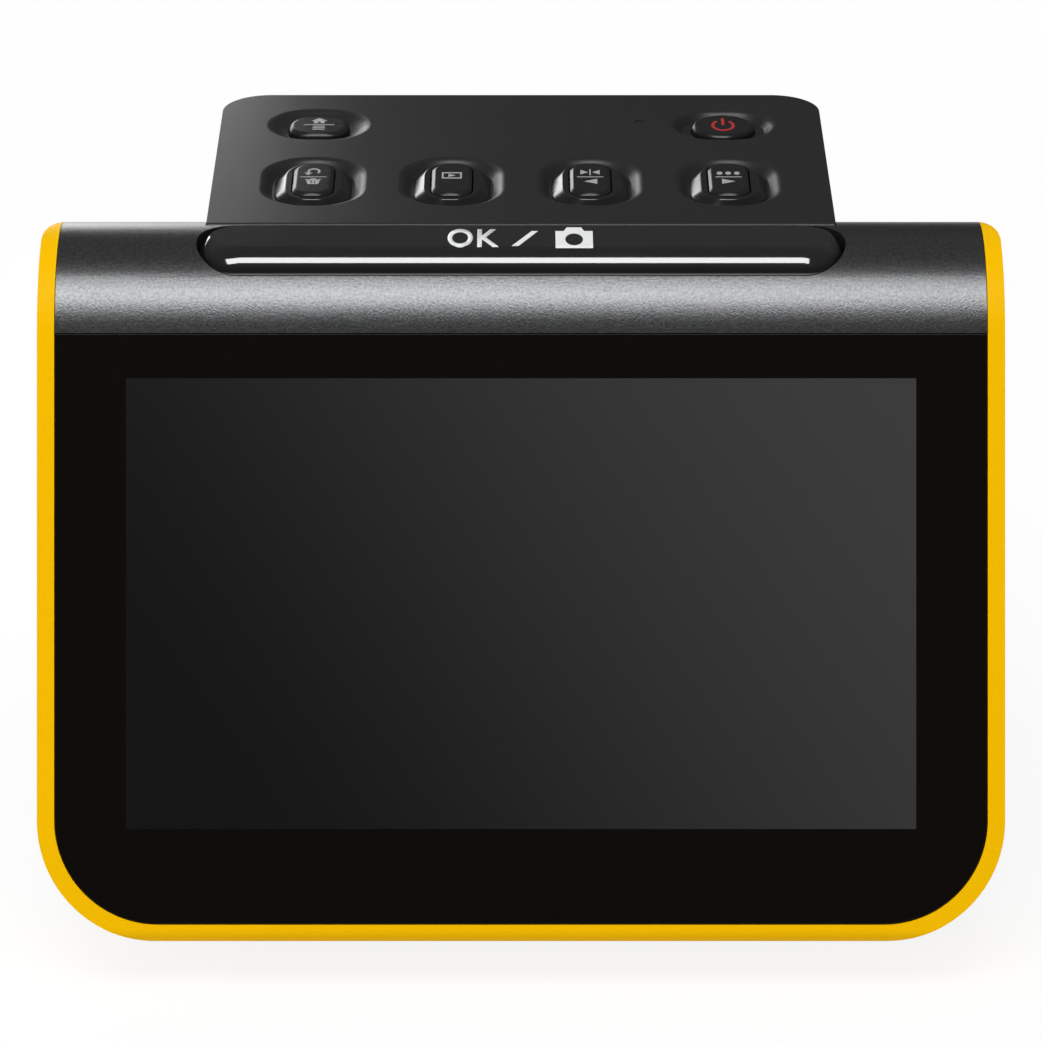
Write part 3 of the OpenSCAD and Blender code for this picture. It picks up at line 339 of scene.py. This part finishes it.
# Painted sheen: the film's dark grey is painted lighter towards the upper right, standing in for a reflection
# on it.
painted_sheen = ramp(tree, across.outputs["Value"], -0.221, 0.779)
film_with_painted_sheen = blend(tree, "RGBA", painted_sheen, (0.0069, 0.0069, 0.0069, 1), (0.0425, 0.0425, 0.0428, 1))
speck = noise(tree, place.outputs["Object"], 900)
ink = blend(tree, "RGBA", speck, (0.0035, 0.0026, 0.002, 1), (0.0042, 0.0031, 0.0025, 1))
tree.links.new(blend(tree, "RGBA", clear, ink, film_with_painted_sheen), shader.inputs["Base Color"])
shader.inputs["Roughness"].default_value = 0.06
shader.inputs["Specular IOR Level"].default_value = 0.35
glass = from_cad("screen_glass", "display_window")
soften(glass, 0.12)
declare(glass, "housing", glass_print_and_painted_sheen, "screen_black", "screen_glass")

# Display stack. A die-cut foam gasket behind the glass, then the display in its pressed metal can, and the
# moulded black carrier that holds the display from behind.
foam = finish("black_foam", (0.012, 0.012, 0.013), (0.022, 0.022, 0.023), 0.85, grain=2600, depth=0.08)
dress(foam, "screen_gasket")
can = finish("display_can", (0.03, 0.03, 0.032), (0.045, 0.045, 0.05), 0.35, mottle=40, grain=6000,
             Metallic=0.3)
dress(can, "lcd_panel")
inner_black = finish("inner_black", (0.016, 0.016, 0.017), (0.026, 0.026, 0.028), 0.55, grain=3000,
                     depth=0.015)
dress(inner_black, "display_carrier")

# Back cover. A charcoal ABS shell, moulded with a spark-eroded texture. It closes the slab from behind, and
# four zinc-plated screws hold it.
charcoal = finish("charcoal_abs", (0.0112, 0.0113, 0.0118), (0.0148, 0.0149, 0.0155), 0.34, mottle=70,
                  grain=3800, depth=0.018)
back_cover = from_cad("back_cover", "rear_cover")
soften(back_cover, 0.2, segments=2)
declare(back_cover, "housing", charcoal, "charcoal_plastic", "back_cover")
steel = finish("zinc_screws", (0.42, 0.42, 0.41), (0.55, 0.55, 0.54), 0.28, mottle=500, grain=8000,
               Metallic=1.0)
dress(steel, "case_screws", "board_screws")

# Tower. The four-sided shell behind the display, moulded in the same charcoal ABS, with the slot that the
# film holder runs through.
tower = from_cad("tower_shell", "tower_walls")
soften(tower, 0.25, segments=2)
declare(tower, "housing", charcoal, "charcoal_plastic", "tower_shell")

# Button panel. The tower's lid in charcoal ABS, moulded with a dish round each key so that a finger finds
# it. The rims of the dishes are rounded, and the panel's outline and the indicator's hole stay crisper.
RIM_R = 0.55 * MM
RIM_LOW, RIM_HIGH, RIM_SIDE = 2.5 * MM, 48.5 * MM, 40 * MM
TOP_SLACK = 0.05 * MM
INDICATOR, INDICATOR_R = Vector((17.6, 40.9)) * MM, 2 * MM
panel = from_cad("button_panel", "key_panel")
panel_top = max(v.co.z for v in panel.data.vertices)
bpy.ops.object.mode_set(mode="EDIT")
bpy.ops.mesh.select_all(action="DESELECT")
bpy.context.tool_settings.mesh_select_mode = (False, True, False)
bpy.ops.mesh.edges_select_sharp(sharpness=math.radians(24))
bpy.ops.object.mode_set(mode="OBJECT")


def on_a_rim(point):
    """Whether a point is on the flat top, away from the panel's outline and the indicator."""
    inside = RIM_LOW < point.y < RIM_HIGH and abs(point.x) < RIM_SIDE
    return point.z > panel_top - TOP_SLACK and inside and (point.xy - INDICATOR).length > INDICATOR_R


for edge in panel.data.edges:
    edge.select = edge.select and all(on_a_rim(panel.data.vertices[i].co) for i in edge.vertices)
bpy.ops.object.mode_set(mode="EDIT")
bpy.ops.mesh.bevel(offset=RIM_R, segments=5, affect="EDGES")
bpy.ops.object.mode_set(mode="OBJECT")
bpy.context.tool_settings.mesh_select_mode = (True, False, False)
soften(panel, 0.2, segments=2, angle=34)
declare(panel, "housing", charcoal, "charcoal_plastic", "button_panel")

# Key surrounds. Glossy black mouldings that stand up inside the four front dishes. Each has a rounded flank
# and a hole for its key, and is clipped into the panel by the spigot below it.
gloss_black = finish("polished_black", (0.006, 0.006, 0.0065), (0.009, 0.009, 0.01), 0.08, spread=0.04,
                     mottle=80, grain=2500, depth=0.001, Specular_IOR_Level=1.0, Coat_Weight=1.0,
                     Coat_Roughness=0.03)
bare_gloss = finish("moulded_gloss", (0.006, 0.006, 0.0065), (0.009, 0.009, 0.01), 0.17, spread=0.04,
                    mottle=80, grain=2500, depth=0.001, Specular_IOR_Level=0.9)
FRONT_Y, DISH_FLOOR, PANEL_UNDER = 16.1732, 93.6547, 91.3547
SURROUND_W, SURROUND_D, SURROUND_R = 11.2, 15.8, 5.2
DRAWN_W, DRAWN_D = 3.2, 1.2
SPIGOT_W, SPIGOT_D, SPIGOT_R, SPIGOT_LAP = 7.2, 13.8, 2.4, 0.3
HOLE_W, HOLE_D, HOLE_FLARE = 6.2, 12.6, 0.1
FLARE_FOOT, FLARE_TOP = 1.1, 1.3
SURROUND_PROFILE = ((0.0, 0.0), (0.02, 0.06), (0.25, 0.32), (0.5, 0.62), (0.75, 0.92), (0.86, 1.05),
                    (0.94, 1.14), (1.0, 1.19), (1.06, 1.21))


def stacked(name, radius, levels, steps=8):
    """A closed block that rises through rounded outlines. A level is width, depth, x, y and z in mm."""
    width, depth, x, y, z = levels[0]
    bpy.ops.object.select_all(action="DESELECT")
    bpy.ops.mesh.primitive_plane_add(size=1, location=(0, 0, 0))
    piece = bpy.context.object
    piece.name = name
    bpy.ops.object.mode_set(mode="EDIT")
    bpy.ops.mesh.select_all(action="SELECT")
    bpy.ops.transform.resize(value=(width * MM, depth * MM, 1), center_override=(0, 0, 0))
    bpy.ops.transform.translate(value=(x * MM, y * MM, z * MM))
    bpy.ops.mesh.bevel(offset=radius * MM, segments=steps, affect="VERTICES")
    bpy.ops.mesh.select_all(action="SELECT")
    for new_width, new_depth, new_x, new_y, new_z in levels[1:]:
        move = ((new_x - x) * MM, (new_y - y) * MM, (new_z - z) * MM)
        bpy.ops.mesh.extrude_region_move(TRANSFORM_OT_translate={"value": move})
        bpy.ops.transform.resize(value=(new_width / width, new_depth / depth, 1),
                                 center_override=(new_x * MM, new_y * MM, new_z * MM))
        width, depth, x, y, z = new_width, new_depth, new_x, new_y, new_z
    bpy.ops.mesh.select_all(action="SELECT")
    bpy.ops.mesh.normals_make_consistent(inside=False)
    bpy.ops.object.mode_set(mode="OBJECT")
    return piece


def combine(piece, other, operation):
    """Joins or cuts with another closed piece, which is used up."""
    step = piece.modifiers.new("step", "BOOLEAN")
    step.object = other
    step.operation = operation
    step.solver = "EXACT"
    only(piece)
    bpy.ops.object.modifier_apply(modifier="step")
    bpy.data.objects.remove(other)


for number, x in enumerate((-30, -10, 10, 30), 1):
    rings = [(SURROUND_W - DRAWN_W * s, SURROUND_D - DRAWN_D * s, x, FRONT_Y, DISH_FLOOR + z)
             for s, z in SURROUND_PROFILE]
    mound = stacked("surround_%d" % number, SURROUND_R, rings, steps=10)
    spigot = stacked("spigot", SPIGOT_R, [(SPIGOT_W, SPIGOT_D, x, FRONT_Y, PANEL_UNDER),
                                          (SPIGOT_W, SPIGOT_D, x, FRONT_Y, DISH_FLOOR + SPIGOT_LAP)])
    combine(mound, spigot, "UNION")
    hole = stacked("hole", SPIGOT_R, [
        (HOLE_W, HOLE_D, x, FRONT_Y, PANEL_UNDER - 1), (HOLE_W, HOLE_D, x, FRONT_Y, DISH_FLOOR + FLARE_FOOT),
        (HOLE_W + HOLE_FLARE, HOLE_D + HOLE_FLARE, x, FRONT_Y, DISH_FLOOR + FLARE_TOP)])
    combine(mound, hole, "DIFFERENCE")
    smooth(mound)
    declare(mound, "housing", bare_gloss, "key_gloss", "key_bezels")

# Long key. A polished black moulding. Its flat top ends in a crease, and from there a rounded flank falls to
# the roll at the front and the ends. Two headed pins below guide it, and two switches push it back up.
BAR_TOP, BAR_FOOT = 94.9547, 89.05
BAR_FRONT, BAR_REAR, BAR_HALF = -12.577, -1.177, 45.5
BAR_ARCS, ARC_STEPS = ((2.8, 0, 39), (4.4, 39, 52), (7.6, 52, 66)), 4
BAR_SIDE, BAR_BACK, BAR_END_FLAT = 1.7, 0.35, 0.05

flank = [(0.0, 0.0)]
for radius, start, stop in BAR_ARCS:
    for step in range(ARC_STEPS):
        before, after = (math.radians(start + (stop - start) * (step + i) / ARC_STEPS) for i in (0, 1))
        pull, rise = flank[-1]
        flank.append((pull + radius * (math.cos(before) - math.cos(after)),
                      rise + radius * (math.sin(after) - math.sin(before))))
flank_pull, flank_rise = flank[-1]
bar_depth = BAR_REAR - BAR_FRONT
bar_levels = [(2 * BAR_HALF, bar_depth, 0, (BAR_FRONT + BAR_REAR) / 2, BAR_FOOT)]
for pull, rise in flank:
    share = pull / flank_pull
    near, far = BAR_FRONT + pull, BAR_REAR - BAR_BACK * share
    bar_levels.append((2 * (BAR_HALF - BAR_SIDE * share), far - near, 0, (near + far) / 2,
                       BAR_TOP - flank_rise + rise))
bar = stacked("long_key", bar_depth / 2 - BAR_END_FLAT, bar_levels, steps=16)
smooth(bar, crease=20)
declare(bar, "ok_bar", gloss_black, "key_gloss")
pins = from_cad("ok_bar", "long_key_pins")
bpy.ops.object.mode_set(mode="EDIT")
bpy.ops.mesh.select_all(action="SELECT")
bpy.ops.mesh.bisect(plane_co=(0, 0, BAR_FOOT * MM), plane_no=(0, 0, 1), clear_outer=True, use_fill=True)
bpy.ops.object.mode_set(mode="OBJECT")
soften(pins, 0.1, segments=2)
declare(pins, "ok_bar", gloss_black, "key_gloss", "ok_bar")
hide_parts("ok_bar")

# Print on the long key. White pad-printed marks: the word that confirms, a stroke and a camera. They lie on
# its flat top, and the feet of the word and the camera just pass the crease at its front.
white_ink = finish("white_ink", (0.72, 0.73, 0.74), (0.8, 0.81, 0.82), 0.4, mottle=600, grain=7000,
                   depth=0.003)
INK_LIFT, INK_THICK = 0.01 * MM, 0.03 * MM


def artwork(name, loops):
    """A flat mesh from outlines in mm. An outline inside another is a hole."""
    drawing = bpy.data.curves.new(name, "CURVE")
    drawing.dimensions = "2D"
    drawing.fill_mode = "BOTH"
    for loop in loops:
        line = drawing.splines.new("POLY")
        line.points.add(len(loop) - 1)
        for point, (x, y) in zip(line.points, loop):
            point.co = (x * MM, y * MM, 0, 1)
        line.use_cyclic_u = True
    piece = bpy.data.objects.new(name, drawing)
    bpy.context.scene.collection.objects.link(piece)
    only(piece)
    bpy.ops.object.convert(target="MESH")
    return piece


def ring(x, y, radius, count=40, stretch=1.0, start=0, stop=360):
    """Points on a circle or arc, stretched along y where it is read at a slant."""
    turns = [math.radians(start + (stop - start) * i / count) for i in range(count + (stop - start < 360))]
    return [(x + radius * math.cos(t), y + stretch * radius * math.sin(t)) for t in turns]


def box_loop(x0, y0, x1, y1):
    """The four corners of a rectangle."""
    return [(x0, y0), (x1, y0), (x1, y1), (x0, y1)]


def word(name, text, x0, y0, x1, y1, weight):
    """Text as a flat mesh that fills a rectangle in mm."""
    bpy.ops.object.select_all(action="DESELECT")
    bpy.ops.object.text_add(location=(0, 0, 0))
    piece = bpy.context.object
    piece.name = name
    piece.data.body = text
    piece.data.offset = weight
    piece.data.space_character = 1.12
    piece.data.resolution_u = 8
    bpy.ops.object.convert(target="MESH")
    low = [min(v.co[i] for v in piece.data.vertices) for i in (0, 1)]
    high = [max(v.co[i] for v in piece.data.vertices) for i in (0, 1)]
    for v in piece.data.vertices:
        v.co.x = (x0 + (v.co.x - low[0]) / (high[0] - low[0]) * (x1 - x0)) * MM
        v.co.y = (y0 + (v.co.y - low[1]) / (high[1] - low[1]) * (y1 - y0)) * MM
    return piece


def printed_on(piece, target, z, cuts=()):
    """Lays a flat mark on a surface from above, and gives the ink its thickness."""
    only(piece)
    bpy.ops.object.mode_set(mode="EDIT")
    bpy.ops.mesh.select_all(action="SELECT")
    bpy.ops.mesh.remove_doubles(threshold=1e-6)
    bpy.ops.transform.translate(value=(0, 0, z * MM))
    for y in cuts:
        bpy.ops.mesh.select_all(action="SELECT")
        bpy.ops.mesh.bisect(plane_co=(0, y * MM, 0), plane_no=(0, 1, 0))
    bpy.ops.object.mode_set(mode="OBJECT")
    if target is not None:
        wrap = piece.modifiers.new("wrap", "SHRINKWRAP")
        wrap.target = target
        wrap.wrap_method = "PROJECT"
        wrap.use_project_z = True
        wrap.use_negative_direction = True
        wrap.offset = INK_LIFT
        bpy.ops.object.modifier_apply(modifier="wrap")
    ink = piece.modifiers.new("ink", "SOLIDIFY")
    ink.thickness = INK_THICK
    ink.offset = 1
    bpy.ops.object.modifier_apply(modifier="ink")


ok_word = word("ok_word", "OK", -10.33, -9.9, -3.14, -3.1, 0.022)
stroke = artwork("stroke_mark", [[(-1.3, -9.6), (-0.35, -9.6), (2.4, -3.9), (1.5, -3.9)]])
camera_mark = artwork("camera_mark", [
    [(4.85, -10.0), (10.1, -10.0), (10.1, -3.9), (8.9, -3.9), (8.5, -2.5), (6.45, -2.5), (6.05, -3.9),
     (4.85, -3.9)],
    ring(7.47, -7.1, 1.25, stretch=1.84),
])
for mark in (ok_word, stroke, camera_mark):
    printed_on(mark, bar, BAR_TOP + 1, cuts=[BAR_FRONT + flank_pull, -9.8])
    declare(mark, "ok_bar", white_ink, "key_gloss")

# Key caps. Satin black moulded keys in their dishes, each with a flange below that keeps it in the panel.
# Their marks are pad-printed in grey, and the power key's in red.
satin_black = finish("satin_black", (0.009, 0.009, 0.0092), (0.013, 0.013, 0.0135), 0.24, mottle=140,
                     grain=5200, depth=0.002, Specular_IOR_Level=0.35)
grey_ink = finish("grey_ink", (0.3, 0.3, 0.31), (0.38, 0.38, 0.39), 0.45, mottle=600, grain=7000, depth=0.003)
red_ink = finish("red_ink", (0.34, 0.016, 0.018), (0.42, 0.025, 0.025), 0.4, mottle=600, grain=7000,
                 depth=0.003)
KEY_X = {"home": -30, "rotate": -30, "gallery": -10, "flip": 10, "colour": 30, "power": 30}
BACK_Y = 39.8232
CROWN_SUNK, CROWN_SLACK = 0.05, 0.01
bin_mark = [[(-0.75, -1.0), (0.75, -1.0), (1.0, 0.5), (-1.0, 0.5)], box_loop(-0.35, -0.6, -0.12, 0.15),
            box_loop(0.12, -0.6, 0.35, 0.15), box_loop(-1.15, 0.68, 1.15, 0.95),
            box_loop(-0.35, 0.95, 0.35, 1.25)]
turn_mark = [ring(0, 0, 0.95, 24, 1.3, -40, 220) + ring(0, 0, 0.62, 24, 1.3, -40, 220)[::-1],
             [(-1.35, -0.5), (-0.2, -0.5), (-0.8, -1.5)]]
frame_mark = [box_loop(-1.45, -1.25, 1.45, 1.25), box_loop(-1.2, -0.85, 1.2, 0.85),
              [(-0.5, -0.6), (0.6, 0), (-0.5, 0.6)]]
mirror_mark = [[(-1.4, -0.9), (-0.3, 0), (-1.4, 0.9)], [(1.4, -0.9), (0.3, 0), (1.4, 0.9)],
               box_loop(-0.1, -1.2, 0.1, 1.2)]
dots_mark = [ring(x, 0, 0.42, 16, 1.5) for x in (-1.25, 0, 1.25)]
house_mark = [[(-0.8, -0.9), (0.8, -0.9), (0.8, 0.1), (1.2, 0.1), (0, 1.3), (-1.2, 0.1), (-0.8, 0.1)],
              box_loop(-0.2, -0.85, 0.2, -0.2)]
list_mark = [box_loop(-0.9, -0.8, 0.9, -0.5), box_loop(-0.9, -0.15, 0.9, 0.15), box_loop(-0.9, 0.5, 0.9, 0.8)]
left_mark = [[(1.0, -1.0), (-0.9, 0), (1.0, 1.0)]]
right_mark = [[(-1.0, -1.0), (0.9, 0), (-1.0, 1.0)]]
power_mark = [ring(0, 0, 1.75, 40, 1.35, 125, 415) + ring(0, 0, 1.3, 40, 1.35, 125, 415)[::-1],
              box_loop(-0.22, 0.1, 0.22, 3.0)]
rule_mark = [box_loop(-1.9, -0.12, 1.9, 0.12)]
long_rule_mark = [box_loop(-2.3, -0.12, 2.3, 0.12)]
MARKS = {
    "home": [(house_mark, 0, 1.5), (long_rule_mark, 0, 0), (list_mark, 0, -1.3)],
    "rotate": [(turn_mark, 0, 2.6), (rule_mark, 0, 0.4), (bin_mark, 0, -1.5)],
    "gallery": [(frame_mark, 0, 1.0)],
    "flip": [(mirror_mark, 0, 2.3), (rule_mark, 0, 0.4), (left_mark, 0, -1.4)],
    "colour": [(dots_mark, 0, 1.9), (rule_mark, 0, 0.4), (right_mark, 0, -1.4)],
    "power": [(power_mark, 0, -0.3)],
}
for key, x in KEY_X.items():
    cap = from_cad(key + "_key", key + "_cap")
    crown = max(v.co.z for v in cap.data.vertices)
    for v in cap.data.vertices:
        if v.co.z > crown - CROWN_SLACK * MM:
            v.co.z = crown - CROWN_SUNK * MM
    soften(cap, 0.18, angle=24)
    declare(cap, key + "_key", satin_black, "key_satin", key + "_key")
    y = BACK_Y if key in ("home", "power") else FRONT_Y
    loops = [[(px + dx + x, py + dy + y) for px, py in loop]
             for shapes, dx, dy in MARKS[key] for loop in shapes]
    mark = artwork(key + "_mark", loops)
    printed_on(mark, None, crown / MM - CROWN_SUNK)
    declare(mark, key + "_key", red_ink if key == "power" else grey_ink, "key_satin")
dress(inner_black, "ok_plungers", *(key + "_plunger" for key in KEY_X))

# Inner works on the key board. Switches in tinned steel cans are soldered to a green board, with the
# indicator's lamp under its smoked light guide. Sockets, leaf spring and hinge pin are of bright steel too.
can_steel = finish("tinned_steel", (0.5, 0.49, 0.46), (0.62, 0.61, 0.58), 0.3, mottle=300, grain=7000,
                   Metallic=1.0)
dress(can_steel, "switch_bodies", "memory_card_socket", "usb_socket", "video_socket", "channel_spring",
      "holder_pin")
solder_mask = finish("solder_mask", (0.008, 0.09, 0.035), (0.012, 0.14, 0.055), 0.35, mottle=420, grain=2400,
                     depth=0.03, Coat_Weight=0.3)
dress(solder_mask, "key_board", "main_board", "sensor_board")
white_board = finish("white_board", (0.75, 0.76, 0.74), (0.82, 0.83, 0.81), 0.4, mottle=300, grain=2400,
                     depth=0.02)
dress(white_board, "light_board")
guide = finish("smoked_guide", (0.012, 0.012, 0.014), (0.02, 0.02, 0.022), 0.2, grain=3000)
dress(guide, "status_light")
lamp_body = finish("lamp_body", (0.78, 0.76, 0.6), (0.85, 0.83, 0.68), 0.4, grain=4000)
dress(lamp_body, "status_led", "light_emitters")

# Boards and cables behind the display. Black epoxy chips and cream nylon sockets are soldered to the
# boards, and amber film cables plug into the sockets.
epoxy = finish("chip_epoxy", (0.012, 0.012, 0.013), (0.02, 0.02, 0.021), 0.6, grain=5000, depth=0.02)
dress(epoxy, "board_chips")
cream = finish("cream_nylon", (0.7, 0.64, 0.48), (0.78, 0.72, 0.56), 0.45, grain=3500, depth=0.015)
dress(cream, "ribbon_sockets")
amber = finish("amber_film", (0.45, 0.16, 0.02), (0.55, 0.22, 0.03), 0.25, mottle=260, grain=2600,
               depth=0.008)
dress(amber, "display_ribbon", "key_ribbon", "sensor_ribbon", "light_ribbon")

# Camera and light inside the tower. A moulded stand holds the coated glass lens and the sensor above the
# film channel's two black guides. The white light box below them shines up through an opal acrylic plate.
dress(inner_black, "camera_bracket", "lens_holder", "lens_barrel", "channel_lower", "channel_upper")
coated = finish("coated_glass", (0.5, 0.55, 0.7), (0.6, 0.62, 0.75), 0.03, grain=2000, depth=0.0005,
                Transmission_Weight=0.9)
dress(coated, "lens_elements")
silicon = finish("sensor_face", (0.03, 0.035, 0.06), (0.05, 0.055, 0.09), 0.15, mottle=900, grain=9000)
dress(silicon, "image_sensor")
white_box = finish("white_moulding", (0.78, 0.78, 0.77), (0.84, 0.84, 0.83), 0.5, grain=3000, depth=0.01)
dress(white_box, "light_box")
opal = finish("opal_acrylic", (0.82, 0.83, 0.84), (0.88, 0.89, 0.9), 0.35, grain=3000,
              Transmission_Weight=0.3)
dress(opal, "diffuser_plate")

# Film holder. Two black ABS mouldings with three picture gates, hinged together on a steel pin along one
# side. It slides through the tower's slot.
holder_black = finish("holder_abs", (0.014, 0.014, 0.015), (0.02, 0.02, 0.021), 0.45, mottle=90, grain=4200,
                      depth=0.015)
holder_base = from_cad("holder_base", "film_tray")
soften(holder_base, 0.25, segments=2)
declare(holder_base, "film_holder", holder_black, "holder_black", "holder_base")
holder_lid = from_cad("holder_lid", "film_tray_lid")
soften(holder_lid, 0.25, segments=2)
declare(holder_lid, "film_holder", holder_black, "holder_black", "holder_lid")

# Base. A charcoal ABS plate, screwed up into the tower, with legs that carry the film channel. Four rubber
# pads under it are the feet.
dress(charcoal, "base_plate")
rubber = finish("foot_rubber", (0.02, 0.02, 0.02), (0.03, 0.03, 0.03), 0.75, grain=3500, depth=0.02)
feet = from_cad("feet", "rubber_feet")
soften(feet, 0.3)
declare(feet, "housing", rubber, "foot_rubber", "feet")
